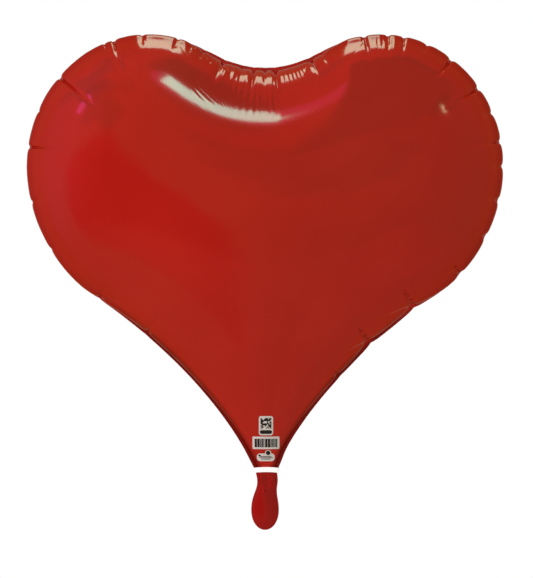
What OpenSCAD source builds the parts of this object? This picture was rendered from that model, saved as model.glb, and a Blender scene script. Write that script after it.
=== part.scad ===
// Heart-shaped foil balloon, filled, held at its neck, with its inflation tail hanging down.
// Two sheets of film are welded together along the outline and swell apart between the welds.
// The origin is the middle of the neck, inside the neck band. +Z points up to the two lobes,
// +X to the right as seen from the front, and the front faces -Y.

/* [Heart] */
// Half of the width across the two lobes
half_w = 261; // [200:1:320]
// Height of the lobe tops above the middle of the neck
top_z = 478; // [400:1:560]
// How far the cleft lies below the lobe tops
cleft_drop = 35; // [20:1:60]
// Half of the depth of the filled balloon at its thickest
half_depth = 120; // [80:1:150]

/* [Film] */
// Width of the flat welded margin along the heart's outline
margin = 4; // [3:0.5:6]
// Width of the flat welded margin along the tail's outline
tail_margin = 3; // [2.5:0.5:3]
// Thickness of a film sheet
film = 0.8; // [0.5:0.1:1.2]
// Gap between the two sheets where the band holds them flat, on each side of the middle
neck_gap = 0.7; // [0.5:0.1:1]
// Length over which the filled cone swells out above the neck
swell = 68; // [50:1:100]

/* [Neck and tail] */
// Half of the width of the film at the neck
neck_half_w = 13; // [11:0.5:15]
// Height of the neck band
band_h = 6; // [4:0.5:8]
// Thickness of the neck band
band_t = 0.6; // [0.4:0.1:1]
// Height of the line that the tail folds about
fold_z = -7; // [-9:0.5:-7]
// Height of the end of the tail
tail_end_z = -66; // [-90:1:-60]
// Half of the width of the tail at its widest
tail_half_w = 15.2; // [14:0.1:18]
// Half of the depth of the tail at its fullest
tail_half_depth = 6; // [3:0.5:7]
// Diameter of the hole that the gas goes in through
inflation_d = 8; // [6:0.5:9]
// Height of the middle of that hole
inflation_z = -44; // [-50:1:-40]

/* [Valve] */
// Half of the width of the valve films
valve_half_w = 6; // [4:0.5:6]
// Thickness of a valve film
valve_t = 0.25; // [0.15:0.05:0.3]
// Height of the inner end of the valve, inside the balloon
valve_top_z = 110; // [60:1:150]

/* [Labels] */
// Width of the square-code label
code_w = 15.6; // [12:0.2:16]
// Height of the square-code label
code_h = 21.6; // [18:0.2:21.6]
// Height of the middle of the square-code label above the middle of the neck
code_z = 50; // [49:1:60]
// Width of the barcode label
barcode_w = 29.6; // [24:0.2:29.6]
// Height of the barcode label
barcode_h = 14.2; // [12:0.2:14.2]
// Height of the middle of the barcode label above the middle of the neck
barcode_z = 30.6; // [29.6:0.2:31]
// Width of the badge label
badge_w = 19.6; // [16:0.2:19.6]
// Height of the badge label
badge_h = 13; // [10:0.2:13]
// Height of the middle of the badge label above the middle of the neck
badge_z = 15.8; // [15:0.2:16]
// How far the middles of the labels lie to the right of the centre line
label_x = 1; // [0:0.1:2]

/* [Hidden] */

foil_red = [0.65, 0.12, 0.10];
tail_red = [0.58, 0.10, 0.09];
valve_clear = [0.85, 0.87, 0.88];
band_white = [0.95, 0.95, 0.94];
label_white = [0.72, 0.67, 0.62];

heart_steps = [11, 11, 10, 18];  // steps along each curved span of the heart's outline
tail_steps = [7, 7, 7];          // the same for the tail
panel_columns = 13;     // columns from the seam to the centre line of a panel
tail_columns = 7;       // the same for the tail
tail_spine_start = 12;  // where the tail's centre line starts, above the tail's end
edge_crowding = 1.8;    // above 1, columns crowd towards the seam, where the film is steepest
clear = 0.4;            // air between the neck and the band
label_t = 0.3;          // thickness of a label
label_lift = 0.3;       // air under a label, more than the panel's facets stand proud
spine_top = 350;        // where the centre line of the columns starts, below the cleft
spine_even = 0.35;      // share of the centre line's spacing that is even
spine_crowding = 2.2;   // the rest crowds towards the cleft by this power
hole_clearance = 0.5;   // how far the drill for the hole runs past the film
drill_reach = 2;        // how far the drill starts outside the tail
tail_gap = 0.2;         // gap between the fold line and the tail's sheets
valve_gap = 0.05;       // how far each valve film lies off the middle plane
valve_overlap = 8;      // how far the valve films reach past the middle of the hole
code_corner = 3;        // corner radii of the labels
barcode_corner = 2.5;
badge_corner = 5;

// How the outline's curved spans leave and reach their ends, as lengths of their handles.
cleft_handle = 0.215 * half_w;
lobe_handle = 0.25 * half_w;
shoulder_handle = 0.177 * top_z;
flank_handle = 0.102 * top_z;
hip_up_handle = [51, 35];
hip_down_handle = [91.5, 63];
neck_handle = [24.3, 53];

// The right half of the heart's outline, from the cleft round the lobe to the neck,
// as four cubic spans that join smoothly at the lobe top, the widest point and the hip.
cleft = [0, top_z - cleft_drop];
lobe = [half_w / 2, top_z];
widest = [half_w, 0.697 * top_z];
hip = [0.713 * half_w, 0.398 * top_z];
neck = [neck_half_w, band_h / 2];
heart_spans = [
    [cleft, cleft + [cleft_handle, 0], lobe - [lobe_handle, 0], lobe],
    [lobe, lobe + [lobe_handle, 0], widest + [0, shoulder_handle], widest],
    [widest, widest - [0, flank_handle], hip + hip_up_handle, hip],
    [hip, hip - hip_down_handle, neck + neck_handle, neck]
];
heart_edge = concat(curve(heart_spans, heart_steps), [[neck_half_w, -band_h / 2]]);

// The right half of the tail's outline, from its end up to the fold.
tail_top_z = fold_z - tail_gap;
tail_end = [0, tail_end_z];
tail_belly = [tail_half_w, -44];
tail_waist = [10.5, -16];
tail_top = [12, tail_top_z];
end_handle = [8, 0];
belly_handle = [0, 14];
waist_down_handle = [0, 8];
waist_up_handle = [0, 3];
top_handle = [0, 4];
tail_spans = [
    [tail_end, tail_end + end_handle, tail_belly - belly_handle, tail_belly],
    [tail_belly, tail_belly + belly_handle, tail_waist - waist_down_handle, tail_waist],
    [tail_waist, tail_waist + waist_up_handle, tail_top - top_handle, tail_top]
];
tail_edge = curve(tail_spans, tail_steps);

// A point on a cubic curve, and all the points along a chain of them.
function bezier(p, t) =
    pow(1 - t, 3) * p[0] + 3 * pow(1 - t, 2) * t * p[1] + 3 * (1 - t) * t * t * p[2] + pow(t, 3) * p[3];
function curve(spans, steps) = concat(
    [for (j = [0 : len(spans) - 1]) for (i = [0 : steps[j] - 1]) bezier(spans[j], i / steps[j])],
    [spans[len(spans) - 1][3]]
);

function total(list) = list * [for (v = list) 1];
function mid_side(v, sense) = sense * [v[1], -v[0]] / norm(v);

// The outline moved inwards by a distance. Its first point stays on the centre line, and its
// last one keeps its height. Sense is 1 where the inside lies to the right of the outline.
function inset(edge, distance, sense) = [
    for (k = [0 : len(edge) - 1])
        k == 0 ? edge[0] + [0, -sense * distance]
        : k == len(edge) - 1 ? edge[k] - [distance, 0]
        : edge[k] + distance * mid_side(edge[k + 1] - edge[k - 1], sense)
];

// How deep a point lies inside an outline: the distance to a lone edge, and less between two.
// It is the mean over all directions of one over the distance to the edge, turned over.
function edge_pull(p, a, b) =
    let (along = norm(b - a), foot = (p - a) * (b - a) / along)
    let (off = abs(cross(b - a, p - a)) / along + 0.001)
    (atan((along - foot) / off) + atan(foot / off)) / off;
function depth_inside(p, edge) = 180 / total([
    for (s = [1, -1]) for (k = [0 : len(edge) - 2])
        edge_pull(p, [s * edge[k][0], edge[k][1]], [s * edge[k + 1][0], edge[k + 1][1]])
]);

// How far the film stands off the middle plane, at a point inside the weld.
weld_edge = 0.6;        // how far inside the weld the sheets part by the gap at the neck
function flat_part(depth) = neck_gap * (1 - exp(-depth / weld_edge));
full_depth = 9.8;       // square root of the depth inside the heart at its thickest
full_swell = 1.02;      // makes up for the swell not being complete there
neck_flat = 0.5;        // height above the band up to which the neck stays flat
heart_gain = (half_depth - film - neck_gap) / full_depth * full_swell;
function heart_rise(p, edge) =
    let (depth = depth_inside(p, edge), above = max(p[1] - band_h / 2 - neck_flat, 0))
    flat_part(depth) + heart_gain * (1 - exp(-above / swell)) * sqrt(depth);
tail_full = 2.6;        // square root of the depth inside the tail at its fullest
tail_flat = 1;          // length below its top over which the tail stays flat
tail_swell = 13;        // length over which the tail fills out below that
tail_gain = (tail_half_depth - film - neck_gap) / tail_full;
function tail_rise(p, edge) =
    let (depth = depth_inside(p, edge), below = max(tail_top_z - tail_flat - p[1], 0))
    flat_part(depth) + tail_gain * (1 - exp(-pow(below / tail_swell, 2))) * sqrt(depth);

// The heights along the centre line that the columns of a sheet run to, one for each
// point of its outline.
function spine(n, first, last) = [
    for (k = [0 : n - 1])
        let (u = k / (n - 1))
        first + (last - first) * (spine_even * u + (1 - spine_even) * pow(u, spine_crowding))
];

// One face of a sheet, as points in rows. Row 0 runs down the centre line, so its two
// halves are one. Each other row runs from the left edge over the centre line to the right.
function sheet_point(k, c, m, edge, weld, middle, seam_y, rise) =
    let (q = abs(c), side = c < 0 ? -1 : 1)
    let (v = pow(max(1 - q / (m - 1), 0), edge_crowding))
    let (p = q == m ? edge[k] : weld[k] + ([0, middle[k]] - weld[k]) * v)
    [side * p[0], -(q > m - 2 ? seam_y : seam_y + rise(p, weld)), p[1]];
function sheet_face(m, edge, weld, middle, seam_y, rise) = [
    for (k = [0 : len(edge) - 1]) for (c = [k == 0 ? 0 : -m : m])
        sheet_point(k, c, m, edge, weld, middle, seam_y, rise)
];
function at(k, c, m) = k == 0 ? abs(c) : m + 1 + (k - 1) * (2 * m + 1) + c + m;
function two_triangles(a, b, c, d) = [[a, b, c], [a, c, d]];

// A film sheet with its welded margin: the outer face, the lining and the strip between them.
module film_sheet(edge, m, middle, weld_w, sense, rise) {
    n = len(edge);
    outer = sheet_face(m, edge, inset(edge, weld_w, sense), middle, film, rise);
    inner = sheet_face(m, edge, inset(edge, weld_w + film, sense), middle, 0, rise);
    lift = len(outer);
    outer_faces = [
        for (k = [0 : n - 2]) for (c = [-m : m - 1])
            each two_triangles(at(k, c, m), at(k, c + 1, m), at(k + 1, c + 1, m), at(k + 1, c, m))
    ];
    inner_faces = [for (f = outer_faces) [f[2] + lift, f[1] + lift, f[0] + lift]];
    rim = concat(
        [for (k = [n - 1 : -1 : 0]) at(k, m, m)],
        [for (k = [1 : n - 1]) at(k, -m, m)],
        [for (c = [1 - m : m - 1]) at(n - 1, c, m)]
    );
    rim_faces = [
        for (i = [0 : len(rim) - 1])
            let (a = rim[i], b = rim[(i + 1) % len(rim)])
            each two_triangles(a, b, b + lift, a + lift)
    ];
    faces = concat(outer_faces, inner_faces, rim_faces);
    turned = [for (f = faces) [f[2], f[1], f[0]]];
    polyhedron(concat(outer, inner), sense > 0 ? faces : turned);
}

module heart_sheet() {
    to_neck = spine(len(heart_edge) - 1, spine_top, band_h / 2);
    film_sheet(heart_edge, panel_columns, concat(to_neck, [-band_h / 2]), margin, 1,
        function (p, e) heart_rise(p, e));
}

module tail_sheet() {
    film_sheet(tail_edge, tail_columns, spine(len(tail_edge), tail_end_z + tail_spine_start, tail_top_z),
        tail_margin, -1, function (p, e) tail_rise(p, e));
}

// A flat strip of valve film just off the middle plane.
module valve_strip(from_z, to_z) {
    translate([0, -valve_gap, 0])
        rotate([90, 0, 0])
            linear_extrude(valve_t)
                translate([-valve_half_w, from_z])
                    square([2 * valve_half_w, to_z - from_z]);
}

module inflation_drill() {
    translate([0, hole_clearance - tail_half_depth - drill_reach, inflation_z])
        rotate([-90, 0, 0])
            cylinder(h = tail_half_depth + drill_reach, d = inflation_d, $fn = 48);
}

// A label that follows the front of the cone, with rounded corners.
label_steps = 8;
function label_half_w(size, corner, up) =
    let (past = max(abs(up) - (size[1] / 2 - corner), 0))
    size[0] / 2 - corner + sqrt(max(corner * corner - past * past, 0));
module label(size, z, corner) {
    weld = inset(heart_edge, margin, 1);
    n = label_steps;
    row = n + 1;
    face = function (lift) [
        for (i = [0 : n]) for (j = [0 : n])
            let (up = size[1] / 2 * sin(90 * (2 * i / n - 1)))
            let (x = label_x + label_half_w(size, corner, up * 0.999) * (2 * j / n - 1))
            [x, -(film + heart_rise([x, z + up], weld) + lift), z + up]
    ];
    front = face(label_lift + label_t);
    back = face(label_lift);
    lift = len(front);
    front_faces = [
        for (i = [0 : n - 1]) for (j = [0 : n - 1])
            each two_triangles(i * row + j, (i + 1) * row + j, (i + 1) * row + j + 1, i * row + j + 1)
    ];
    back_faces = [for (f = front_faces) [f[2] + lift, f[1] + lift, f[0] + lift]];
    rim = concat(
        [for (j = [0 : n - 1]) j],
        [for (i = [0 : n - 1]) i * row + n],
        [for (j = [n : -1 : 1]) n * row + j],
        [for (i = [n : -1 : 1]) i * row]
    );
    rim_faces = [
        for (i = [0 : len(rim) - 1])
            let (a = rim[i], b = rim[(i + 1) % len(rim)])
            each two_triangles(a, b, b + lift, a + lift)
    ];
    polyhedron(concat(front, back), concat(front_faces, back_faces, rim_faces));
}

module front_panel() {
    color(foil_red) heart_sheet();
}

module back_panel() {
    color(foil_red) mirror([0, 1, 0]) heart_sheet();
}

// A flat loop of ribbon drawn round the neck.
module band_outline(grow) {
    half_x = neck_half_w + clear + grow;
    half_y = film + neck_gap + clear + grow;
    translate([-half_x + half_y, -half_y]) square([2 * (half_x - half_y), 2 * half_y]);
    for (side = [1, -1]) translate([side * (half_x - half_y), 0]) circle(half_y, $fn = 32);
}

module neck_band() {
    color(band_white)
        translate([0, 0, -band_h / 2])
            linear_extrude(band_h)
                difference() {
                    band_outline(band_t);
                    band_outline(0);
                }
}

module valve_film_front() {
    color(valve_clear) valve_strip(-band_h / 2, valve_top_z);
}

module valve_film_back() {
    color(valve_clear) mirror([0, 1, 0]) valve_strip(-band_h / 2, valve_top_z);
}

module tail_front() {
    color(tail_red) tail_sheet();
}

module tail_back() {
    color(tail_red)
        mirror([0, 1, 0])
            difference() {
                tail_sheet();
                inflation_drill();
            }
}

module valve_tail_front() {
    color(valve_clear) valve_strip(inflation_z - valve_overlap, tail_top_z);
}

module valve_tail_back() {
    color(valve_clear)
        mirror([0, 1, 0])
            difference() {
                valve_strip(inflation_z - valve_overlap, tail_top_z);
                inflation_drill();
            }
}

module code_label() {
    color(label_white) label([code_w, code_h], code_z, code_corner);
}

module barcode_label() {
    color(label_white) label([barcode_w, barcode_h], barcode_z, barcode_corner);
}

module badge_label() {
    color(label_white) label([badge_w, badge_h], badge_z, badge_corner);
}

front_panel();
back_panel();
neck_band();
valve_film_front();
valve_film_back();
tail_front();
tail_back();
valve_tail_front();
valve_tail_back();
code_label();
barcode_label();
badge_label();
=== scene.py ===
"""The looks of the heart-shaped foil balloon.

The balloon is two sheets of metallised film, welded flat along the outline. Gas swells them
apart, and the film puckers where the weld holds it short. Lengths are in millimetres until a
mesh is made. A place on the rim is named by its side, -1 left or 1 right, and by its distance
along the outline from the cleft.
"""

import math

import bpy
import numpy as np
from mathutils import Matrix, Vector
from mathutils.bvhtree import BVHTree
from mathutils.kdtree import KDTree


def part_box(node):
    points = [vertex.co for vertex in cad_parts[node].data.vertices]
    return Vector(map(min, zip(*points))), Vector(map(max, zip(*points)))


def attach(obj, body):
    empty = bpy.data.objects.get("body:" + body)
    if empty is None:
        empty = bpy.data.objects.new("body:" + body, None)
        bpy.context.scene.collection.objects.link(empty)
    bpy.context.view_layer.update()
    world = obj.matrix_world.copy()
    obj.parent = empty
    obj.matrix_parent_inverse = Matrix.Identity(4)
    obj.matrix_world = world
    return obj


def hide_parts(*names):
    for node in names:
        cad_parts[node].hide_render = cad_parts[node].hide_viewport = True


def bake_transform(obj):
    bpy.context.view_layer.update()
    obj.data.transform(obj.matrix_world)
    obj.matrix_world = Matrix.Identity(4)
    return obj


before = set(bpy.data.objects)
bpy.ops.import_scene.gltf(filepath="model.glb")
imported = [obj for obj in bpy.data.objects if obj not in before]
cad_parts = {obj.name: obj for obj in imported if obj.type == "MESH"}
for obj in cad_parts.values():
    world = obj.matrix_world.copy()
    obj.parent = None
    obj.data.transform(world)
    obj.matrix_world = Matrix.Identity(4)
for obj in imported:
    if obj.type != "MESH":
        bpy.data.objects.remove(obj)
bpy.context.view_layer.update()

MM = 0.001
rng = np.random.default_rng(11)

# ---------------------------------------------------------------- sizes, from the CAD frame

panel_low, panel_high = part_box("front_panel")
band_low, band_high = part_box("neck_band")
tail_low, tail_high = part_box("tail_front")
HALF_W = panel_high.x / MM
TOP_Z = panel_high.z / MM
DEPTH = -panel_low.y / MM
BAND_TOP = band_high.z / MM
BAND_BOTTOM = band_low.z / MM
TAIL_END = tail_low.z / MM
TAIL_HALF_W = tail_high.x / MM

CLEFT_DROP = 35.0    # how far the cleft lies below the tops of the lobes
NECK_HALF_W = 13.0
MARGIN = 4.0         # width of the flat weld
NECK_FLAT = 0.5      # height above the band up to which the neck stays flat
NECK_GAP = 0.7       # how far the film stands off the middle plane at the neck
WELD_EDGE = 0.6      # how far inside the weld it reaches that
SWELL = 68.0         # height over which the cone fills out
FULL_DEPTH = 9.8     # square root of the depth inside the heart at its thickest
FULL_SWELL = 1.02    # makes up for the swell not being complete there
PUCKER_ROOM = 1.5    # how far the smooth film stays inside the CAD's depth
FILM = 0.12          # thickness of the film
FILM_OFFSET = 0.75 * FILM    # how far a sheet's face lies off the middle plane at the weld


# ---------------------------------------------------------------- camera

def make_camera():
    """A long lens level with the balloon's middle, straight in front."""
    across, distance, up = 0.0016, 3.0, 0.199
    height_seen = 0.636
    data = bpy.data.cameras.new("camera")
    data.sensor_width = 36
    data.lens = data.sensor_width / (height_seen / distance)
    camera = bpy.data.objects.new("camera", data)
    bpy.context.collection.objects.link(camera)
    camera.location = (across, -distance, up)
    camera.rotation_euler = (math.radians(90), 0, 0)
    bpy.context.scene.camera = camera


make_camera()


# ---------------------------------------------------------------- outlines

def bezier(points, steps):
    """Points along a cubic span, all but its last."""
    p = np.array(points, float)
    t = (np.arange(steps) / steps)[:, None]
    return ((1 - t) ** 3 * p[0] + 3 * (1 - t) ** 2 * t * p[1]
            + 3 * (1 - t) * t * t * p[2] + t ** 3 * p[3])


def chain(spans, steps=160):
    """Points along a chain of cubic spans, with the distance along it of each."""
    points = np.vstack([bezier(s, steps) for s in spans] + [np.array([spans[-1][3]], float)])
    gaps = np.linalg.norm(np.diff(points, axis=0), axis=1)
    return points, np.concatenate([[0], np.cumsum(gaps)])


def heart_spans():
    """The right half of the heart, from the cleft round the lobe to the neck."""
    cleft = np.array([0, TOP_Z - CLEFT_DROP])
    lobe = np.array([HALF_W / 2, TOP_Z])
    widest = np.array([HALF_W, TOP_Z * 0.697])
    hip = np.array([HALF_W * 0.713, TOP_Z * 0.398])
    neck = np.array([NECK_HALF_W, BAND_TOP])
    cleft_handle = [HALF_W * 0.215, 0]
    lobe_handle = [HALF_W * 0.25, 0]
    shoulder_handle = [0, TOP_Z * 0.177]
    flank_handle = [0, TOP_Z * 0.102]
    hip_up_handle = [51, 35]
    hip_down_handle = [91.5, 63]
    neck_handle = [24.3, 53]
    return [
        [cleft, cleft + cleft_handle, lobe - lobe_handle, lobe],
        [lobe, lobe + lobe_handle, widest + shoulder_handle, widest],
        [widest, widest - flank_handle, hip + hip_up_handle, hip],
        [hip, hip - hip_down_handle, neck + neck_handle, neck],
    ]


def inward(points):
    """Unit normals that point into the shape, for a right half that runs clockwise."""
    t = np.gradient(points, axis=0)
    t /= np.linalg.norm(t, axis=1)[:, None]
    normals = np.stack([t[:, 1], -t[:, 0]], 1)
    normals[0] = [0, -1]
    return normals


def depth_inside(p, weld):
    """How deep points lie inside the mirrored weld line: the mean over all directions of one
    over the distance to it, turned over."""
    a = np.vstack([weld[:-1], weld[:-1] * [-1, 1]])
    b = np.vstack([weld[1:], weld[1:] * [-1, 1]])
    along = b - a
    length = np.linalg.norm(along, axis=1)
    flat = p.reshape(-1, 2)
    total = np.zeros(len(flat))
    for k in range(len(a)):
        d = flat - a[k]
        foot = d @ along[k] / length[k]
        off = np.abs(along[k][0] * d[:, 1] - along[k][1] * d[:, 0]) / length[k] + 1e-3
        total += (np.arctan((length[k] - foot) / off) + np.arctan(foot / off)) / off
    return (math.pi / total).reshape(p.shape[:-1])


OUTLINE, RUN = chain(heart_spans())
RIM = RUN[-1]
WELD = OUTLINE + MARGIN * inward(OUTLINE)
COARSE_WELD = WELD[::8]
GAIN = (DEPTH - PUCKER_ROOM) / FULL_DEPTH * FULL_SWELL


def dense_outline(step=0.15):
    """The outline as close points in a search tree, with the place of each on the rim."""
    places = np.arange(0, RIM, step)
    tree = KDTree(len(places))
    for k, (x, z) in enumerate(zip(*(np.interp(places, RUN, OUTLINE[:, c]) for c in range(2)))):
        tree.insert((x, z, 0), k)
    tree.balance()
    return tree, places


RIM_TREE, RIM_PLACES = dense_outline()


def nearest_rim(p):
    """The distance of points from the outline, and the place on the rim each is nearest."""
    found = [RIM_TREE.find((x, z, 0)) for x, z in p.reshape(-1, 2)]
    away = np.array([f[2] for f in found]).reshape(p.shape[:-1])
    return away, RIM_PLACES[[f[1] for f in found]].reshape(p.shape[:-1])


def rise(p):
    """How far the smooth film stands off the middle plane."""
    above = np.maximum(p[..., 1] - BAND_TOP - NECK_FLAT, 0)
    depth = depth_inside(p, COARSE_WELD)
    flat_part = NECK_GAP * (1 - np.exp(-depth / WELD_EDGE))
    return flat_part + GAIN * (1 - np.exp(-above / SWELL)) * np.sqrt(depth)


# ---------------------------------------------------------------- puckers along the rim

# Each crease: side, place on the rim, depth, reach into the film, half width, and how far it
# draws the rim in. Side 0 is the cleft. Those with no depth draw the rim in over a long arc.
CREASES = [
    (0, 0, 1.2, 26, 1.12, 0.6),
    (-1, 12, 2.6, 38, 1.05, 1.0),
    (-1, 24, 1.4, 24, 0.99, 0.4),
    (-1, 45, 3.6, 40, 1.24, 1.3),
    (-1, 70, 1.8, 16, 1.24, 1.0),
    (-1, 84, 1.2, 12, 1.12, 0.6),
    (-1, 101, 1.8, 18, 1.12, 0.4),
    (-1, 141, 1.2, 14, 1.24, 0.4),
    (-1, 173, 3.2, 52, 1.24, 0.7),
    (-1, 184, 1.6, 20, 1.24, 0.2),
    (-1, 246, 3.6, 62, 1.24, 0.7),
    (-1, 290, 1.0, 14, 1.86, 0.3),
    (-1, 331, 3.2, 56, 1.12, 0.6),
    (-1, 392, 1.8, 16, 1.49, 0.4),
    (-1, 448, 1.0, 14, 1.86, 0.3),
    (-1, 524, 3.2, 24, 1.36, 1.6),
    (-1, 588, 2.2, 30, 1.98, 0.7),
    (1, 10, 1.3, 120, 13.0, 0.0),
    (1, 11, 2.8, 48, 1.05, 1.0),
    (1, 50, 3.2, 30, 1.24, 1.3),
    (1, 64, 1.4, 22, 1.12, 0.4),
    (1, 115, 3.0, 38, 1.05, 1.0),
    (1, 141, 2.0, 26, 1.12, 0.7),
    (1, 159, 2.6, 26, 1.12, 0.9),
    (1, 186, 1.4, 14, 1.49, 0.8),
    (1, 217, 3.8, 50, 1.18, 1.6),
    (1, 261, 3.4, 48, 1.18, 1.7),
    (1, 292, 1.2, 14, 1.49, 0.9),
    (1, 325, 3.2, 56, 1.12, 1.3),
    (1, 352, 1.4, 16, 1.49, 0.7),
    (1, 390, 2.2, 16, 1.36, 1.2),
    (1, 432, 2.4, 22, 1.36, 1.3),
    (1, 481, 2.6, 20, 1.36, 1.6),
    (1, 545, 3.6, 46, 2.10, 2.8),
    (1, 545, 0.0, 46, 9.0, 3.0),
    (1, 606, 3.4, 42, 2.10, 2.6),
    (1, 606, 0.0, 42, 9.0, 3.2),
    (1, 655, 1.4, 16, 1.86, 1.0),
]

# Each patch of fine ripples: side, first and last place on the rim, height, the distances in
# from the rim where it starts and ends, and spacing.
RIPPLES = [
    (-1, 0, 60, 0.27, 1, 26, 5.6),
    (-1, 2, 58, 0.42, 24, 64, 4.4),
    (1, 0, 14, 0.25, 1, 26, 5.0),
    (1, 0, 16, 0.42, 24, 64, 4.4),
    (1, 12, 64, 0.20, 1, 28, 4.0),
    (-1, 94, 120, 0.08, 6, 28, 6.6),
    (-1, 168, 190, 0.30, 12, 32, 5.0),
    (1, 114, 164, 0.26, 4, 30, 6.4),
    (1, 205, 262, 0.26, 12, 36, 7.0),
    (-1, 250, 272, 0.28, 16, 36, 6.0),
    (-1, 312, 332, 0.30, 22, 36, 5.0),
    (1, 322, 356, 0.26, 16, 38, 6.0),
]


def own_side(side, half_side):
    """Whether a pucker on a side, or at the cleft, touches this half."""
    return side in (0, half_side)


def fade(q):
    """1 at the weld, falling smoothly to 0 where a pucker runs out."""
    q = np.clip(q, 0, 1)
    return (1 - q) ** 2 * (1 + 2 * q)


def valley(x):
    """A sharp-bottomed fold with rounded shoulders."""
    return np.exp(-np.abs(x) ** 1.15)


def creases_at(side, run, reach, strength):
    """Depth of the creases below the smooth film, by place on the rim and distance from it."""
    spread = 1.2
    depth = np.zeros(np.broadcast(run, reach).shape)
    for k, (s, place, deep, far, half, _) in enumerate(CREASES):
        width = half * (1 + spread * np.clip(reach / far, 0, 1))
        away = side * run - s * place
        depth += strength[k] * deep * valley(away / width) * fade(reach / far)
    return depth


def ripples_at(side, run, reach, phase):
    """Fine puckers, which stand up between creases."""
    ends, drift, drift_length = 5, 1.6, 9.0
    height = np.zeros(np.broadcast(run, reach).shape)
    for k, (s, first, last, high, near, far, gap) in enumerate(RIPPLES):
        if own_side(s, side):
            inside = np.clip((run - first) / ends, 0, 1) * np.clip((last - run) / ends, 0, 1)
            bend = run + drift * np.sin(run / drift_length + phase[k])
            wave = 2 * np.abs(np.sin(math.pi * bend / gap)) - 1
            start = 1 - np.exp(-(reach / near) ** 2)
            height += high * inside * start * wave * fade(reach / far)
    return height


def notches_at(side, run):
    """How far the rim is drawn in at each crease."""
    wider = 2.4
    drawn = np.zeros(run.shape)
    for s, place, _, _, half, notch in CREASES:
        if own_side(s, side):
            drawn += notch * np.exp(-np.abs((run - place) / (half * wider)) ** 1.2)
    return drawn


def bulge_at(side, run):
    """How far the film swells out past the weld between creases: over the margin round the
    lobes, and less in the cleft and along the cone, where the margin shows."""
    round_lobe, lost_on_cone, share_in_cleft = 5.2, 3.6, 0.12
    full_notch, held_share, wider = 1.3, 0.30, 3
    swell = round_lobe - lost_on_cone * np.clip((run - 500) / 70, 0, 1)
    swell = swell * np.clip((RIM + 12 - run) / 120, 0, 1)
    swell = swell * (share_in_cleft + (1 - share_in_cleft) * np.clip((run - 58) / 40, 0, 1))
    held = np.zeros(run.shape)
    for s, place, _, _, half, notch in CREASES:
        if own_side(s, side):
            pull = min(notch / full_notch, 1)
            held = np.maximum(held, pull * np.exp(-np.abs(run - place) / (half * wider)))
    return swell * (1 - held_share * held)


# ---------------------------------------------------------------- the two foil panels

def rim_places():
    """Places along the rim, close together at the cleft, the creases, the ripples and the
    neck."""
    fine, medium, coarse = 0.8, 1.1, 2.2
    near_crease, near_ripples, near_cleft, round_cleft, near_neck = 3.2, 3, 80, 125, 22
    sharp = np.array([c[1] for c in CREASES])
    places = [0.0]
    while places[-1] < RIM:
        here = places[-1]
        at_crease = np.abs(sharp - here).min() < near_crease
        at_ripples = any(r[1] - near_ripples < here < r[2] + near_ripples for r in RIPPLES)
        if at_crease or here < near_cleft or here > RIM - near_neck:
            places.append(here + fine)
        elif here < round_cleft or at_ripples:
            places.append(here + medium)
        else:
            places.append(here + coarse)
    places = np.array(places)
    return places * RIM / places[-1]


def spine_heights(n, first, last):
    """Heights down the centre line, closer together at its first end."""
    even, crowding = 0.35, 2.2
    u = np.arange(n) / (n - 1)
    return first + (last - first) * (even * u + (1 - even) * u ** crowding)


MARGIN_COLUMNS = 3
FILM_COLUMNS = 54
SPINE_TOP = 350.0      # where the centre line of the columns starts, below the cleft
EDGE_CROWDING = 2.1    # above 1, columns crowd towards the weld
NECK_FOLD = 1.1        # depth of the fold that runs across just above the band
NECK_FOLD_Z = 6.2
NECK_RIDGE_Z = 9.6     # height of the ridge above that fold
NECK_LEAN = 1.25       # how far the neck sits to the right of the middle


def neck_lean(z):
    """How far the sheet lies to the right of the middle at a height."""
    return NECK_LEAN * np.exp(-(np.maximum(z, 0) / 18) ** 2)


def neck_flare(z):
    """The film spreads a little towards the band."""
    return 1 + 0.09 * np.exp(-((z - 3) / 14) ** 2)


def rim_wave(side, run):
    """The weld isn't quite flat: it waves to the front and back."""
    wave = 0.7 * np.sin(run / 11.0 + side) + 0.5 * np.sin(run / 4.7 + 2 * side)
    return wave * np.clip((RIM - run) / 60, 0, 1) * np.clip(run / 10, 0, 1)


def film_normals(points, face):
    """Unit normals of a grid of points that face out, from each point's neighbours."""
    out = np.cross(np.gradient(points, axis=0), np.gradient(points, axis=1))
    out /= np.linalg.norm(out, axis=2)[..., None] + 1e-9
    return out * np.sign(np.sum(out * np.array([0, face, 0]), axis=2) + 1e-6)[..., None]


def fold_neck(rows, high, side, face):
    """A fold runs across just above the band, and the neck flares and leans to the right."""
    film = rows[:, MARGIN_COLUMNS:]
    across = np.exp(-((film[..., 2] - NECK_FOLD_Z) / 1.3) ** 2) - 0.5 * np.exp(
        -((film[..., 2] - NECK_RIDGE_Z) / 1.6) ** 2)
    film[..., 1] -= face * NECK_FOLD * across * (1 - np.exp(-high / 0.9))
    rows[..., 0] *= neck_flare(rows[..., 2])
    rows[..., 0] += side * neck_lean(rows[..., 2])


def margin_columns(edge, weld, wave, face):
    """The flat margin, from the rim to the weld. It waves more at the rim."""
    columns = []
    for k in range(MARGIN_COLUMNS):
        q = k / MARGIN_COLUMNS
        p = edge + (weld - edge) * q
        y = wave * (1.25 - 0.25 * q) + face * FILM_OFFSET
        columns.append(np.stack([p[:, 0], y, p[:, 1]], 1))
    return np.stack(columns, 1)


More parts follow.
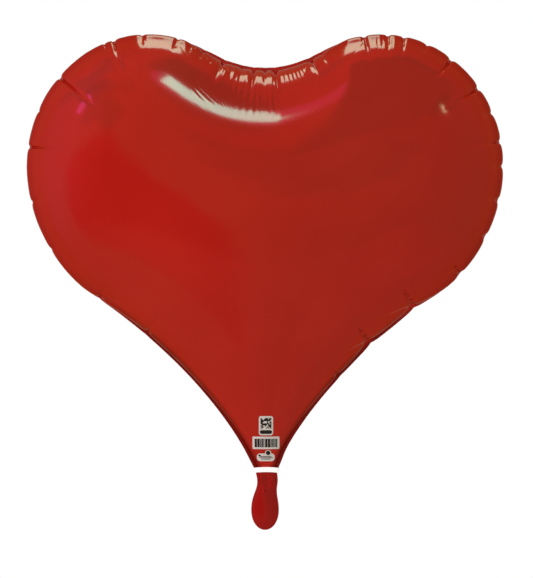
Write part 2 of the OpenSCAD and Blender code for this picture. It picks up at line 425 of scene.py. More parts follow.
def panel_half(side, face, run, strength, phase):
    """One half of one sheet as rows of points, from the outline over the weld to the centre
    line. Face is -1 in front and 1 behind."""
    edge = np.stack([np.interp(run, RUN, OUTLINE[:, k]) for k in range(2)], 1)
    normal = np.stack([np.interp(run, RUN, inward(OUTLINE)[:, k]) for k in range(2)], 1)
    normal /= np.linalg.norm(normal, axis=1)[:, None]
    notch = notches_at(side, run)
    wave = rim_wave(side, run)
    edge_in = edge + normal * (0.55 * notch + 0.3)[:, None]
    weld = edge + normal * (MARGIN + notch)[:, None]
    flat_weld = edge + normal * MARGIN
    spine = np.stack([np.zeros(len(run)), spine_heights(len(run), SPINE_TOP, BAND_TOP)], 1)

    v = (np.arange(FILM_COLUMNS + 1) / FILM_COLUMNS) ** EDGE_CROWDING
    base = flat_weld[:, None] + (spine - flat_weld)[:, None] * v[None, :, None]
    base[:, 0] = flat_weld + normal * 0.01
    high = rise(base)
    high[:, 0] = 0
    reach, place = nearest_rim(base)
    reach = np.maximum(reach - MARGIN, 0)

    # past the weld the film swells outwards, then puckers move it along its normal
    points = np.stack([base[..., 0], face * high, base[..., 1]], 2)
    out = film_normals(points, face)
    swell = np.exp(-((high - 13) / 11) ** 2) * (1 - np.exp(-high / 3.5))
    sideways = bulge_at(side, run)[:, None] * swell
    points[..., 0] -= normal[:, None, 0] * sideways
    points[..., 2] -= normal[:, None, 1] * sideways
    settle = 1 - np.exp(-high / 2.0)
    deep = creases_at(side, place, reach, strength)
    fine = ripples_at(side, place, reach, phase)
    points += out * ((fine - deep) * settle)[..., None]

    # the weld and the margin are drawn in at the notches and wave a little
    hold = np.exp(-reach / 7)
    points[..., 0] += normal[:, None, 0] * notch[:, None] * hold
    points[..., 2] += normal[:, None, 1] * notch[:, None] * hold
    points[..., 1] += wave[:, None] * hold + face * FILM_OFFSET

    rows = np.concatenate([margin_columns(edge_in, weld, wave, face), points], 1)
    fold_neck(rows, high, side, face)

    # below the cone the sheet runs flat through the band
    last = rows[-1].copy()
    neck_rows = []
    for z in (BAND_TOP * 0.4, -BAND_TOP * 0.2, BAND_BOTTOM + 0.4):
        row = last.copy()
        row[:, 2] = z
        neck_rows.append(row)
    rows = np.concatenate([rows, np.stack(neck_rows)], 0)
    rows[:, -1, 0] = side * neck_lean(rows[:, -1, 2])
    rows[0, :, 0] = 0
    return rows


def mirror_x(rows):
    """Rows that were worked out on the right, turned over to the left."""
    turned = rows.copy()
    turned[..., 0] *= -1
    return turned


def mesh_object(name, verts, faces, smooth=True):
    """An object from points in millimetres and faces."""
    mesh = bpy.data.meshes.new(name)
    mesh.from_pydata([tuple(v) for v in np.asarray(verts) * MM], [], faces)
    mesh.validate()
    mesh.update()
    if smooth:
        mesh.polygons.foreach_set("use_smooth", [True] * len(mesh.polygons))
    obj = bpy.data.objects.new(name, mesh)
    bpy.context.collection.objects.link(obj)
    return obj


def join_halves(right, left, face):
    """One mesh from the two halves of a sheet, which share the centre line and the row
    that runs down from the cleft."""
    n, m = right.shape[:2]
    index = {}
    verts = []
    meet = (right[0] + left[0]) / 2

    def vertex(side, i, j):
        if j == m - 1:
            key = ("spine", i)
        elif i == 0:
            key = ("cleft", j)
        else:
            key = (side, i, j)
        if key not in index:
            index[key] = len(verts)
            if i == 0:
                verts.append(meet[j])
            elif j == m - 1:
                verts.append((right[i, j] + left[i, j]) / 2)
            else:
                verts.append((right if side > 0 else left)[i, j])
        return index[key]

    faces = []
    for side in (1, -1):
        for i in range(n - 1):
            for j in range(m - 1):
                quad = [vertex(side, i, j), vertex(side, i + 1, j),
                        vertex(side, i + 1, j + 1), vertex(side, i, j + 1)]
                faces.append(quad if side * face < 0 else quad[::-1])
    return np.array(verts), faces


def solidify(obj, thickness):
    """Real thickness, laid on the inside."""
    shell = obj.modifiers.new("film", "SOLIDIFY")
    shell.thickness = thickness * MM
    shell.offset = -1


def mark_weld_heat_and_shade(obj, tones):
    """Stores how much each point is darkened: partly the weld's heat seal, partly painted shade
    along it.
    """
    weld = obj.data.attributes.new("weld", "FLOAT", "POINT")
    weld.data.foreach_set("value", np.asarray(tones, np.float32))


def weld_heat_and_shade_tones(verts):
    """Dark along the margin of the cone, and lighter round the lobes: painted shade along the
    weld, with some real darkening from the heat seal.
    """
    flat = np.asarray(verts)[:, [0, 2]]
    flat[:, 0] = np.abs(flat[:, 0] - neck_lean(flat[:, 1]))
    away, place = nearest_rim(flat)
    strip = 1 - np.clip((away - MARGIN - 1) / 6, 0, 1)
    cone = np.clip((place - 520) / 80, 0, 1)
    return strip * strip * (0.25 + 0.75 * cone)


def make_panel(name, face, node, material):
    """A foil sheet of the heart. Its creases vary a little in depth and its ripples in phase."""
    run = rim_places()
    strength = 1 + 0.12 * rng.standard_normal(len(CREASES))
    phase = rng.uniform(0, 2 * math.pi, len(RIPPLES))
    right = panel_half(1, face, run, strength, phase)
    left = mirror_x(panel_half(-1, face, run, strength, phase))
    verts, faces = join_halves(right, left, face)
    panel = mesh_object(name, verts, faces)
    mark_weld_heat_and_shade(panel, weld_heat_and_shade_tones(verts))
    solidify(panel, FILM)
    panel.data.materials.append(material)
    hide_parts(node)
    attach(panel, "balloon")
    return panel


# ---------------------------------------------------------------- materials

def new_material(name):
    """A node material, with its nodes, its links and its shader."""
    material = bpy.data.materials.new(name)
    material.use_nodes = True
    nodes = material.node_tree.nodes
    return material, nodes, material.node_tree.links, nodes["Principled BSDF"]


# Darkens the weld margin: painted shade, mixed with the heat seal's own darkening.
WELD_HEAT_AND_SHADE_TONE = (0.42, 0.36, 0.40, 1)


def foil_material(name, deep, bright, roughness):
    """Clear red lacquer over bright metal. The lacquer's depth drifts a little over the
    sheet, it is darker along the weld, partly from the heat seal and partly as painted shade,
    and fine specks break the gloss."""
    material, nodes, links, shader = new_material(name)
    shader.inputs["Metallic"].default_value = 0.94
    shader.inputs["Specular Tint"].default_value = (0.90, 0.49, 0.42, 1)
    shader.inputs["Coat Weight"].default_value = 0.03
    shader.inputs["Coat Roughness"].default_value = 0.06
    place = nodes.new("ShaderNodeTexCoord")
    drift = nodes.new("ShaderNodeTexNoise")
    drift.inputs["Scale"].default_value = 7.0
    drift.inputs["Detail"].default_value = 3.0
    links.new(place.outputs["Object"], drift.inputs["Vector"])
    ramp = nodes.new("ShaderNodeValToRGB")
    ramp.color_ramp.elements[0].position = 0.32
    ramp.color_ramp.elements[0].color = (*deep, 1)
    ramp.color_ramp.elements[1].position = 0.70
    ramp.color_ramp.elements[1].color = (*bright, 1)
    links.new(drift.outputs["Fac"], ramp.inputs["Fac"])
    # The weld attribute darkens the margin: partly the heat seal, partly painted shade.
    weld_heat_and_shade = nodes.new("ShaderNodeAttribute")
    weld_heat_and_shade.attribute_name = "weld"
    tone = nodes.new("ShaderNodeMix")
    tone.data_type = "RGBA"
    tone.blend_type = "MULTIPLY"
    tone.inputs[7].default_value = WELD_HEAT_AND_SHADE_TONE
    links.new(weld_heat_and_shade.outputs["Fac"], tone.inputs[0])
    links.new(ramp.outputs["Color"], tone.inputs[6])
    links.new(tone.outputs[2], shader.inputs["Base Color"])

    haze = nodes.new("ShaderNodeTexNoise")
    haze.inputs["Scale"].default_value = 420.0
    haze.inputs["Detail"].default_value = 2.0
    links.new(place.outputs["Object"], haze.inputs["Vector"])
    gloss = nodes.new("ShaderNodeMapRange")
    gloss.inputs["To Min"].default_value = roughness * 0.82
    gloss.inputs["To Max"].default_value = roughness * 1.22
    links.new(haze.outputs["Fac"], gloss.inputs["Value"])
    links.new(gloss.outputs["Result"], shader.inputs["Roughness"])

    bump = nodes.new("ShaderNodeBump")
    bump.inputs["Strength"].default_value = 0.035
    bump.inputs["Distance"].default_value = 0.0004
    links.new(haze.outputs["Fac"], bump.inputs["Height"])
    links.new(bump.outputs["Normal"], shader.inputs["Normal"])
    return material


FOIL = foil_material("foil_red", (0.71, 0.033, 0.020), (0.79, 0.041, 0.024), 0.115)

front = make_panel("foil_front", -1, "front_panel", FOIL)
make_panel("foil_back", 1, "back_panel", FOIL)


# ---------------------------------------------------------------- tail

TAIL_MARGIN = 3.0
TAIL_TOP = BAND_TOP - 1
TAIL_GAP = 0.25      # how fast the slack film parts from the weld at the top of the tail
TAIL_FILL = 2.108    # how much faster it parts where the tail is full
TAIL_COLUMNS = 28
TAIL_ROWS = 124
TAIL_SWAY = 2.7      # how far the tail's waist hangs to the right
HOLE_D = 8.0
HOLE_Z = -44.0


def tail_spans():
    """The right half of the tail, from the middle of its end up into the band."""
    end = np.array([0, TAIL_END])
    belly = np.array([TAIL_HALF_W, HOLE_Z])
    waist = np.array([11.2, -17])
    top = np.array([11.8, TAIL_TOP])
    end_handle, belly_down, belly_up = [8.5, 0], [0, 13], [0, 12]
    waist_down, waist_up = [0, 8], [0, 6]
    return [
        [end, end + end_handle, belly - belly_down, belly],
        [belly, belly + belly_up, waist - waist_down, waist],
        [waist, waist + waist_up, top - waist_up, top],
    ]


def tail_sway(z):
    """The tail hangs a little to the right at its waist."""
    return TAIL_SWAY * np.exp(-((z + 12) / 12) ** 2)


TAIL_EDGE, TAIL_RUN = chain(tail_spans(), 60)
TAIL_RIM = TAIL_RUN[-1]

# Small kinks in the tail: place across, height, how far they stand out, and half length.
TAIL_DIMPLES = [(-7.2, -14, 1.8, 1.8), (4.4, -14.5, 1.8, 2.2), (-1.6, -24, 1.8, 1.5)]


def tail_folds(x, z):
    """Pleats that run down from the band and die out over the belly."""
    near_band = np.exp(-((z + 2) / 17) ** 2)
    ridges = 1.2 * np.exp(-((x + 6.4) / 1.7) ** 2) + 1.1 * np.exp(-((x - 5.8) / 1.9) ** 2)
    gully = 1.6 * np.exp(-(x / 2.4) ** 2)
    dimple = sum(out * np.exp(-((x - at) / 1.3) ** 2 - ((z - high) / tall) ** 2)
                 for at, high, out, tall in TAIL_DIMPLES)
    slack = 0.22 * np.sin(x / 2.9 + z / 7.0) * np.exp(-((z + 40) / 22) ** 2)
    return near_band * (ridges - gully) + dimple + slack


def tail_half(side, face, run):
    """One half of one sheet of the tail as rows of points, from its outline to the centre
    line. It is flat inside the band and fills out below."""
    edge = np.stack([np.interp(run, TAIL_RUN, TAIL_EDGE[:, k]) for k in range(2)], 1)
    normal = -inward(edge)
    normal[0] = [0, 1]
    weld = edge + normal * TAIL_MARGIN
    coarse = TAIL_EDGE[::4] + TAIL_MARGIN * -inward(TAIL_EDGE)[::4]
    coarse[0] = TAIL_EDGE[0] + [0, TAIL_MARGIN]
    spine = np.stack([np.zeros(len(run)), spine_heights(len(run), TAIL_END + 12, TAIL_TOP)], 1)
    v = (np.arange(TAIL_COLUMNS + 1) / TAIL_COLUMNS) ** 1.5
    base = weld[:, None] + (spine - weld)[:, None] * v[None, :, None]
    base[:, 0] = weld + normal * 0.01
    depth = depth_inside(base, coarse)
    below = np.maximum(-3.0 - base[..., 1], 0)
    fill = 1 - np.exp(-((below + 2.5) / 15) ** 2)
    high = (TAIL_GAP + TAIL_FILL * fill) * np.sqrt(depth)
    high[:, 0] = 0
    settle = 1 - np.exp(-high / 0.8)
    x = side * base[..., 0]
    high = np.maximum(high + tail_folds(x, base[..., 1]) * settle * np.clip(fill * 3, 0.12, 1),
                      0.06 * settle)
    points = np.stack([base[..., 0], face * (high + FILM_OFFSET), base[..., 1]], 2)
    swell = 1.6 * np.exp(-((high - 2.2) / 1.8) ** 2) * settle * np.clip(below / 14, 0, 1)
    points[..., 0] -= normal[:, None, 0] * swell
    points[..., 2] -= normal[:, None, 1] * swell
    margin = []
    for k in range(2):
        p = edge + (weld - edge) * (k / 2)
        margin.append(np.stack([p[:, 0], np.full(len(run), face * FILM_OFFSET), p[:, 1]], 1))
    rows = np.concatenate([np.stack(margin, 1), points], 1)
    rows[:, -1, 0] = 0
    rows[0, :, 0] = 0
    return rows


def cut_hole(obj):
    """The hole that the gas goes in through."""
    bpy.ops.mesh.primitive_cylinder_add(vertices=40, radius=HOLE_D / 2 * MM, depth=0.03,
                                        location=(0, 0.016, HOLE_Z * MM),
                                        rotation=(math.radians(90), 0, 0))
    drill = bpy.context.object
    cut = obj.modifiers.new("hole", "BOOLEAN")
    cut.operation = "DIFFERENCE"
    cut.solver = "EXACT"
    cut.object = drill
    bake_modifiers(obj)
    bpy.data.objects.remove(drill)


def bake_modifiers(obj):
    """Keeps what the modifiers make as the mesh itself."""
    shaped = obj.evaluated_get(bpy.context.evaluated_depsgraph_get())
    mesh = bpy.data.meshes.new_from_object(shaped)
    obj.modifiers.clear()
    obj.data = mesh


def across_the_fold(obj):
    """Keeps where it stands as the mesh itself; it isn't attached to a body."""
    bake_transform(obj)


def make_tail_sheet(name, face, node, material):
    """A foil sheet of the tail. The back one has the inflation hole."""
    run = np.linspace(0, TAIL_RIM, TAIL_ROWS)
    right = tail_half(1, face, run)
    left = mirror_x(tail_half(-1, face, run))
    verts, faces = join_halves(right, left, face)
    verts[:, 0] += tail_sway(verts[:, 2])
    sheet = mesh_object(name, verts, [f[::-1] for f in faces])
    sheet.data.materials.append(material)
    solidify(sheet, FILM)
    if face > 0:
        cut_hole(sheet)
    else:
        bake_modifiers(sheet)
    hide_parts(node)
    across_the_fold(sheet)


# The tail is the body's film; its darker colours are painted shade, for the lights that the body
# hides from it.
TAIL_FOIL_SHADED = foil_material("foil_tail_red", (0.50, 0.018, 0.015), (0.60, 0.024, 0.018), 0.16)

make_tail_sheet("tail_foil_front", -1, "tail_front", TAIL_FOIL_SHADED)
make_tail_sheet("tail_foil_back", 1, "tail_back", TAIL_FOIL_SHADED)


# ---------------------------------------------------------------- valve

def grid_faces(rows, columns):
    """The squares of a grid of points that are stored row by row."""
    return [[i * columns + j, i * columns + j + 1, (i + 1) * columns + j + 1,
             (i + 1) * columns + j]
            for i in range(rows - 1) for j in range(columns - 1)]


def plate(front_points, back_points, rows, columns):
    """A thin closed plate between two grids of points."""
    n = rows * columns
    faces = grid_faces(rows, columns)
    rim = ([j for j in range(columns - 1)]
           + [i * columns + columns - 1 for i in range(rows - 1)]
           + [(rows - 1) * columns + j for j in range(columns - 1, 0, -1)]
           + [i * columns for i in range(rows - 1, 0, -1)])
    sides = [[a, a + n, b + n, b] for a, b in zip(rim, rim[1:] + rim[:1])]
    turned = [[v + n for v in f[::-1]] for f in faces]
    return np.concatenate([front_points, back_points]), faces + turned + sides


VALVE_T = 0.05


def valve_material():
    """Thin, nearly clear plastic film with a fine crinkle."""
    material, nodes, links, shader = new_material("valve_film")
    shader.inputs["Base Color"].default_value = (0.86, 0.88, 0.90, 1)
    shader.inputs["Roughness"].default_value = 0.25
    shader.inputs["Alpha"].default_value = 0.55
    place = nodes.new("ShaderNodeTexCoord")
    crinkle = nodes.new("ShaderNodeTexNoise")
    crinkle.inputs["Scale"].default_value = 160.0
    links.new(place.outputs["Object"], crinkle.inputs["Vector"])
    bump = nodes.new("ShaderNodeBump")
    bump.inputs["Strength"].default_value = 0.3
    bump.inputs["Distance"].default_value = 0.0005
    links.new(crinkle.outputs["Fac"], bump.inputs["Height"])
    links.new(bump.outputs["Normal"], shader.inputs["Normal"])
    return material


def make_valve_film(name, face, nodes, material):
    """A soft film strip that lies against its twin, from the tail up into the balloon."""
    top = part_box(nodes[0])[1].z / MM
    half_w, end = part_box(nodes[1])[1].x / MM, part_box(nodes[1])[0].z / MM
    step, columns = 1.5, 9
    zs = np.arange(end, top + step, step)
    xs = np.linspace(-half_w, half_w, columns)
    z, x = np.meshgrid(zs, xs, indexing="ij")
    limp = np.clip((z - 30) / 50, 0, 1)
    sway = 1.2 * limp * np.sin(z / 17) + 0.05 * np.sin(z / 3 + x)
    gap = face * (0.06 + 0.05 * limp)
    x = x + tail_sway(z) * np.clip(-z / 8, 0, 1) * 0.6

    def layer(extra):
        return np.stack([x, gap + sway * 0.5 + face * extra, z], 2).reshape(-1, 3)

    verts, faces = plate(layer(0.0), layer(VALVE_T), *x.shape)
    film = mesh_object(name, verts, faces if face > 0 else [f[::-1] for f in faces])
    film.data.materials.append(material)
    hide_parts(*nodes)
    across_the_fold(film)


VALVE = valve_material()
make_valve_film("valve_front", -1, ["valve_film_front", "valve_tail_front"], VALVE)
make_valve_film("valve_back", 1, ["valve_film_back", "valve_tail_back"], VALVE)


# ---------------------------------------------------------------- neck band

def glowing_ribbon_material():
    """White satin ribbon with fine threads along and across it. It glows a little: painted
    light.
    """
    material, nodes, links, shader = new_material("white_ribbon")
    shader.inputs["Roughness"].default_value = 0.45
    shader.inputs["Sheen Weight"].default_value = 0.4
    place = nodes.new("ShaderNodeTexCoord")
    threads = nodes.new("ShaderNodeTexWave")
    threads.wave_type = "BANDS"
    threads.bands_direction = "Z"
    threads.inputs["Scale"].default_value = 520.0
    threads.inputs["Distortion"].default_value = 0.4
    links.new(place.outputs["Object"], threads.inputs["Vector"])
    shade = nodes.new("ShaderNodeMapRange")
    shade.inputs["To Min"].default_value = 0.90
    shade.inputs["To Max"].default_value = 1.0
    links.new(threads.outputs["Fac"], shade.inputs["Value"])
    colour = nodes.new("ShaderNodeCombineColor")
    for channel in ("Red", "Green", "Blue"):
        links.new(shade.outputs["Result"], colour.inputs[channel])
    links.new(colour.outputs["Color"], shader.inputs["Base Color"])
    # Painted light: the ribbon glows so it stays as white as the backdrop.
    links.new(colour.outputs["Color"], shader.inputs["Emission Color"])
    shader.inputs["Emission Strength"].default_value = 0.45
    bump = nodes.new("ShaderNodeBump")
    bump.inputs["Strength"].default_value = 0.25
    bump.inputs["Distance"].default_value = 0.0002
    links.new(threads.outputs["Fac"], bump.inputs["Height"])
    links.new(bump.outputs["Normal"], shader.inputs["Normal"])
    return material


def make_band():
    """A flat loop of ribbon drawn round the neck, its ends a little lower than its middle."""
    half_x = band_high.x / MM + 0.4
    half_y = band_high.y / MM
    ribbon = 0.3
    tall = (BAND_TOP - BAND_BOTTOM) / 2
    around, profile = 120, 14
    verts = []
    for i in range(around):
        a = 2 * math.pi * i / around
        side = math.copysign(1, math.cos(a))
        turn = Vector((abs(math.cos(a)) ** 0.55 * side,
                       abs(math.sin(a)) ** 0.8 * math.copysign(1, math.sin(a))))
        droop = 0.45 - 0.9 * abs(turn.x) ** 2
        for j in range(profile):
            b = 2 * math.pi * j / profile
            up = tall * 0.93 * abs(math.sin(b)) ** 0.35 * math.copysign(1, math.sin(b))
            out = 0.28 * abs(math.cos(b)) ** 0.6 * math.copysign(1, math.cos(b))
            pinch = 0.15 * math.cos(7 * a) * abs(up) / tall
            verts.append(((half_x - ribbon + out) * turn.x + NECK_LEAN,
                          (half_y - ribbon + out + pinch) * turn.y, up + droop))
    faces = [[i * profile + j, i * profile + (j + 1) % profile,
              (i + 1) % around * profile + (j + 1) % profile, (i + 1) % around * profile + j]
             for i in range(around) for j in range(profile)]
    band = mesh_object("ribbon_band", verts, [f[::-1] for f in faces])
    band.data.materials.append(glowing_ribbon_material())
    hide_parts("neck_band")
    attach(band, "balloon")


make_band()


# ---------------------------------------------------------------- labels

LABEL_LIFT = 0.16    # how far a label's face stands off the film
INK_LIFT = 0.26
LABEL_T = 0.10       # thickness of a label, and of the print on it
FRONT_FILM = BVHTree.FromObject(front, bpy.context.evaluated_depsgraph_get())


def on_front(x, z, lift):
    """Points on the front of the cone, a little in front of the film."""
    x, z = np.broadcast_arrays(x, z)
    points = []
    for px, pz in zip(x.ravel(), z.ravel()):
        hit, _, _, _ = FRONT_FILM.ray_cast((px * MM, -1, pz * MM), (0, 1, 0))
        points.append((px, hit.y / MM - lift, pz))
    return np.array(points).reshape(*x.shape, 3)


def label_plate(centre, size, corner, lift, steps=14):
    """A thin plate with rounded corners that follows the cone."""
    up = size[1] / 2 * np.sin(np.linspace(-math.pi / 2, math.pi / 2, steps))
    past = np.maximum(np.abs(up) * 0.999 - (size[1] / 2 - corner), 0)
    half = size[0] / 2 - corner + np.sqrt(corner ** 2 - past ** 2)
    x = centre[0] + half[:, None] * np.linspace(-1, 1, steps)[None]
    z = np.broadcast_to(centre[1] + up[:, None], x.shape)
    return plate(on_front(x, z, lift).reshape(-1, 3),
                 on_front(x, z, lift - LABEL_T).reshape(-1, 3), steps, steps)


def round_plate(centre, across, lift, short=0.05):
    """A plate that is a disc, but for corners a little short of half its width."""
    return label_plate(centre, (across, across), across / 2 - short, lift)


def merge(parts):
    """Several plates as one mesh."""
    verts, faces, count = [], [], 0
    for v, f in parts:
        verts.append(v)
        faces += [[k + count for k in face] for face in f]
        count += len(v)
    return np.concatenate(verts), faces


def print_material(name, colour, roughness):
    """Flat print with a little mottle."""
    material, nodes, links, shader = new_material(name)
    place = nodes.new("ShaderNodeTexCoord")
    mottle = nodes.new("ShaderNodeTexNoise")
    mottle.inputs["Scale"].default_value = 600.0
    links.new(place.outputs["Object"], mottle.inputs["Vector"])
    ramp = nodes.new("ShaderNodeValToRGB")
    ramp.color_ramp.elements[0].color = (*[c * 0.86 for c in colour], 1)
    ramp.color_ramp.elements[1].color = (*colour, 1)
    ramp.color_ramp.elements[0].position = 0.35
    ramp.color_ramp.elements[1].position = 0.65
    links.new(mottle.outputs["Fac"], ramp.inputs["Fac"])
    links.new(ramp.outputs["Color"], shader.inputs["Base Color"])
    shader.inputs["Roughness"].default_value = roughness
    shader.inputs["Specular IOR Level"].default_value = 0.2
    return material


PAPER = print_material("label_print", (1.00, 0.94, 0.88), 0.5)
INK = print_material("label_ink", (0.020, 0.014, 0.012), 0.45)


def add_label(name, parts, material, node=None):
    """A label or its print, which rides on the balloon."""
    verts, faces = merge(parts)
    label = mesh_object(name, verts, faces, smooth=False)
    label.data.materials.append(material)
    if node:
        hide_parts(node)
    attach(label, "balloon")


def label_frame(node):
    """The middle and the size of a label's CAD solid, in the plane of the front."""
    low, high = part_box(node)
    middle = ((low.x + high.x) / 2 / MM, (low.z + high.z) / 2 / MM)
    return middle, ((high.x - low.x) / MM, (high.z - low.z) / MM)


def make_code_label():
    """A square of random cells that encodes nothing, over a plain dark bar."""
    (x, z), size = label_frame("code_label")
    add_label("code_label_print", [label_plate((x, z), size, 2.4, LABEL_LIFT)],
              PAPER, "code_label")
    cells, square, border, share_filled = 10, 11.8, 2.2, 0.68
    pitch = square / cells
    top = z + size[1] / 2 - border
    filled = rng.random((cells, cells)) < share_filled
    ink = []
    for i in range(cells):
        for j in range(cells):
            if filled[i, j]:
                at = (x + (j - (cells - 1) / 2) * pitch, top - (i + 0.5) * pitch)
                ink.append(label_plate(at, (pitch * 1.02, pitch * 1.02), 0.05, INK_LIFT, 3))
    ink.append(label_plate((x, z - size[1] / 2 + 3.6), (size[0] - 2.4, 4.2), 1.9, INK_LIFT))
    add_label("code_label_ink", ink, INK)


def make_barcode_label():
    """Bars of random widths that encode nothing."""
    (x, z), size = label_frame("barcode_label")
    add_label("barcode_label_print", [label_plate((x, z), size, 1.2, LABEL_LIFT)],
              PAPER, "barcode_label")
    ink = []
    half_length, bar_h, thinnest = 12.4, 9.6, 0.4
    here, end = x - half_length, x + half_length
    while here < end - thinnest:
        wide = min(rng.choice([1.0, 1.6, 2.5]), end - here)
        ink.append(label_plate((here + wide / 2, z - 0.2), (wide, bar_h), 0.04, INK_LIFT, 6))
        here += wide + rng.choice([0.5, 0.5, 0.9])
    add_label("barcode_label_ink", ink, INK)


def make_badge_label():
    """A plain badge: a dark disc over stacked plain bars."""
    (x, z), size = label_frame("badge_label")
    head_x, body_h, corner = x + 2.4, size[1] - 4.2, 3.6
    body = label_plate((x - 0.2, z - 1.6), (size[0], body_h), corner, LABEL_LIFT)
    head = round_plate((head_x, z + 3.0), 7.0, LABEL_LIFT + 0.02)
    add_label("badge_label_print", [body, head], PAPER, "badge_label")
    ink = [round_plate((head_x, z + 3.4), 4.8, INK_LIFT)]
    pitch, thick = 1.5, 0.75
    for k, (wide, dx) in enumerate([(12.5, -0.2), (14.5, 0.0), (10.5, -0.2)]):
        ink.append(label_plate((x + dx, z - 0.6 - pitch * k), (wide, thick), 0.35, INK_LIFT, 6))
    ink.append(label_plate((x - 7.0, z + 0.4), (2.4, 2.0), 0.9, INK_LIFT, 8))
    add_label("badge_label_ink", ink, INK)


make_code_label()
make_barcode_label()
make_badge_label()


# ---------------------------------------------------------------- studio

ROOM_LIGHT = (0.482, 0.475, 0.41)
ROOM_SLOPE = (-0.096, -0.02, 0.039)    # how its red grows along x, y and z
CARD_UNEVEN = 0.30                     # how much noise shifts the edge of a card
LIT_POINT = Vector((0, -0.09, 0.36))   # the lights are placed and aimed from here


def make_floor():
    """A plain pale floor, half clear, that fades out towards its edge."""
    floor_z, radius = -0.30, 2.4
    bpy.ops.mesh.primitive_circle_add(vertices=96, radius=radius, fill_type="NGON",
                                      location=(0, 0, floor_z))
    floor = bpy.context.object
    floor.name = "floor"
    material, nodes, links, shader = new_material("floor")
    shader.inputs["Base Color"].default_value = (0.86, 0.84, 0.83, 1)
    shader.inputs["Roughness"].default_value = 0.7
    place = nodes.new("ShaderNodeTexCoord")
    length = nodes.new("ShaderNodeVectorMath")
    length.operation = "LENGTH"
    links.new(place.outputs["Object"], length.inputs[0])
    edge = nodes.new("ShaderNodeMapRange")
    edge.interpolation_type = "SMOOTHSTEP"
    edge.inputs["From Min"].default_value = 0.6
    edge.inputs["From Max"].default_value = 1.6
    edge.inputs["To Min"].default_value = 0.45
    edge.inputs["To Max"].default_value = 0.0
    links.new(length.outputs["Value"], edge.inputs["Value"])
    links.new(edge.outputs["Result"], shader.inputs["Alpha"])
    floor.data.materials.append(material)


def facing(nodes, links, ray, direction):
    """How far a ray points along a direction, from -1 to 1."""
    dot = nodes.new("ShaderNodeVectorMath")
    dot.operation = "DOT_PRODUCT"
    dot.inputs[1].default_value = direction
    links.new(ray, dot.inputs[0])
    return dot.outputs["Value"]


def add_card(nodes, links, ray, below, direction, inner, outer, colour):
    """A soft-edged studio card in a direction, laid over the room's light. Inner and outer
    are the angles, in degrees, where its edge starts and ends."""
    toward = Vector(direction).normalized()
    uneven = nodes.new("ShaderNodeTexNoise")
    uneven.inputs["Scale"].default_value = 2.6
    uneven.inputs["Detail"].default_value = 3.0
    links.new(ray, uneven.inputs["Vector"])
    shift = nodes.new("ShaderNodeMath")
    shift.operation = "MULTIPLY_ADD"
    shift.inputs[1].default_value = CARD_UNEVEN
    links.new(uneven.outputs["Fac"], shift.inputs[0])
    links.new(facing(nodes, links, ray, toward), shift.inputs[2])
    edge = nodes.new("ShaderNodeMapRange")
    edge.interpolation_type = "SMOOTHSTEP"
    edge.inputs["From Min"].default_value = math.cos(math.radians(outer)) + CARD_UNEVEN / 2
    edge.inputs["From Max"].default_value = math.cos(math.radians(inner)) + CARD_UNEVEN / 2
    links.new(shift.outputs["Value"], edge.inputs["Value"])
    lay = nodes.new("ShaderNodeMix")
    lay.data_type = "RGBA"
    lay.blend_type = "MULTIPLY"
    lay.inputs[7].default_value = (*colour, 1)
    links.new(edge.outputs["Result"], lay.inputs[0])
    links.new(below, lay.inputs[6])
    return lay.outputs[2]


# Each card: direction, edge start, edge end, and what it does to the room's light.
CARDS = [
    ((-0.66, -0.68, -0.26), 28, 38, (1.02, 0.57, 0.65)),
    ((0.42, -0.15, 0.90), 12, 34, (0.71, 1.00, 0.95)),
    ((-0.57, -0.37, 0.74), 9, 20, (0.84, 0.97, 0.98)),
    ((-0.58, 0.12, 0.80), 8, 24, (0.79, 1.00, 1.00)),
    ((-0.05, 0.20, 1.00), 16, 50, (1.05, 1.05, 1.15)),
    ((-0.95, 0.20, 0.28), 16, 60, (1.02, 1.15, 1.85)),
    ((0.30, -0.88, 0.36), 8, 24, (0.87, 1.00, 1.00)),
    ((0.55, -0.36, -0.74), 8, 26, (1.13, 1.04, 1.04)),
]


def make_world():
    """White behind the balloon, and a dimmer room in its gloss: lighter on the left and
    overhead, darker on the right, with a few large soft cards."""
    world = bpy.data.worlds.new("studio")
    bpy.context.scene.world = world
    world.use_nodes = True
    nodes, links = world.node_tree.nodes, world.node_tree.links
    output = nodes["World Output"]
    place = nodes.new("ShaderNodeTexCoord")
    ray = place.outputs["Generated"]
    slope = nodes.new("ShaderNodeMath")
    slope.operation = "ADD"
    slope.inputs[1].default_value = ROOM_LIGHT[0]
    links.new(facing(nodes, links, ray, ROOM_SLOPE), slope.inputs[0])
    colour = nodes.new("ShaderNodeCombineColor")
    colour.inputs["Green"].default_value = ROOM_LIGHT[1]
    colour.inputs["Blue"].default_value = ROOM_LIGHT[2]
    links.new(slope.outputs["Value"], colour.inputs["Red"])
    glow = colour.outputs["Color"]
    for card in CARDS:
        glow = add_card(nodes, links, ray, glow, *card)
    room = nodes["Background"]
    links.new(glow, room.inputs["Color"])
    white = nodes.new("ShaderNodeBackground")
    white.inputs["Color"].default_value = (1, 1, 1, 1)
    path = nodes.new("ShaderNodeLightPath")
    mix = nodes.new("ShaderNodeMixShader")
    links.new(path.outputs["Is Camera Ray"], mix.inputs["Fac"])
    links.new(room.outputs["Background"], mix.inputs[1])
    links.new(white.outputs["Background"], mix.inputs[2])
    links.new(mix.outputs["Shader"], output.inputs["Surface"])


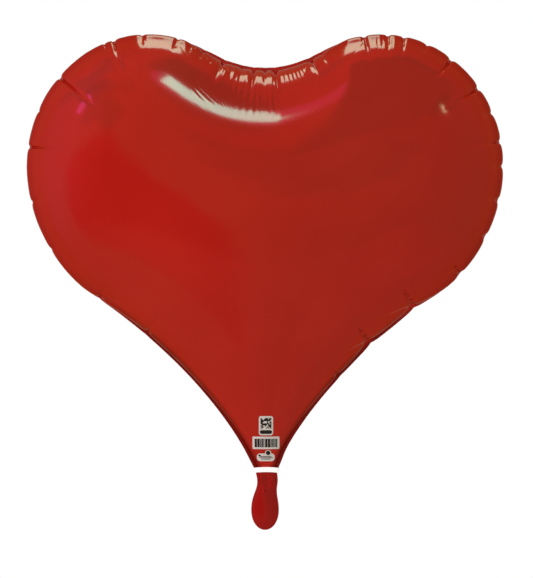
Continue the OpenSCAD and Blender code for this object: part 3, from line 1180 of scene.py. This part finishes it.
def area_light(name, toward, distance, size, radiance, turn=0.0, shape="RECTANGLE"):
    """A flat light that is seen from the balloon in a direction. The size is its width and
    depth, and the radiance is its brightness in each channel."""
    data = bpy.data.lights.new(name, "AREA")
    data.shape = shape
    data.size, data.size_y = size
    area = size[0] * size[1] * (1 if shape == "RECTANGLE" else math.pi / 4)
    most = max(radiance)
    data.energy = most * area * math.pi
    data.color = [c / most for c in radiance]
    light = bpy.data.objects.new(name, data)
    bpy.context.collection.objects.link(light)
    light.location = LIT_POINT + Vector(toward) * distance
    facing_out = Vector(toward).to_track_quat("Z", "Y").to_euler()
    light.rotation_euler = (0, 0, turn) if toward[2] == 1 else facing_out
    return light


def make_lights():
    """A softbox overhead with a cool glow round it, one behind, and a light at each side show in
    gloss only. A soft fill from the left shows in everything else."""
    gloss_only = [
        area_light("key", (0.068, -0.318, 1), 0.80, (0.190, 0.150), (0.3, 15.0, 18.0),
                   math.radians(-32)),
        area_light("key_glow", (0.02, -0.32, 1), 0.79, (0.34, 0.23), (0.10, 0.12, 0.9),
                   math.radians(-32), "ELLIPSE"),
        area_light("rim", (-0.02, 0.72, 1), 1.2, (0.46, 0.44), (0.4, 10.0, 15.5)),
        area_light("right_spot", (0.78, -0.30, 0.56), 3, (0.16, 0.22), (0.5, 9.0, 8.0)),
        area_light("left_glow", (-0.79, -0.20, 0.58), 3, (0.30, 0.60), (0.3, 0.4, 3.4)),
    ]
    for light in gloss_only:
        light.visible_diffuse = False
    fill = area_light("fill", (-0.75, -0.75, 0.22), 1.6, (1.0, 1.0), (2.9, 3.0, 3.2))
    fill.visible_glossy = False


def make_flag():
    """A pale card over the right lobe, nearly as bright as the room, that hides the key from it.
    The camera doesn't see it."""
    x0, x1, y0, y1, z = 0.020, 0.50, -0.62, -0.03, 0.70
    glow = (0.405, ROOM_LIGHT[1], ROOM_LIGHT[2], 1)
    corners = np.array([(x0, y0, z), (x1, y0, z), (x1, y1, z), (x0, y1, z)]) / MM
    flag = mesh_object("flag", corners, [[0, 1, 2, 3]], smooth=False)
    material, _, _, shader = new_material("flag")
    shader.inputs["Base Color"].default_value = (0, 0, 0, 1)
    shader.inputs["Specular IOR Level"].default_value = 0
    shader.inputs["Emission Color"].default_value = glow
    shader.inputs["Emission Strength"].default_value = 1
    flag.data.materials.append(material)
    flag.visible_camera = False


make_floor()
make_flag()
make_world()
make_lights()
bpy.context.scene.view_settings.view_transform = "Standard"
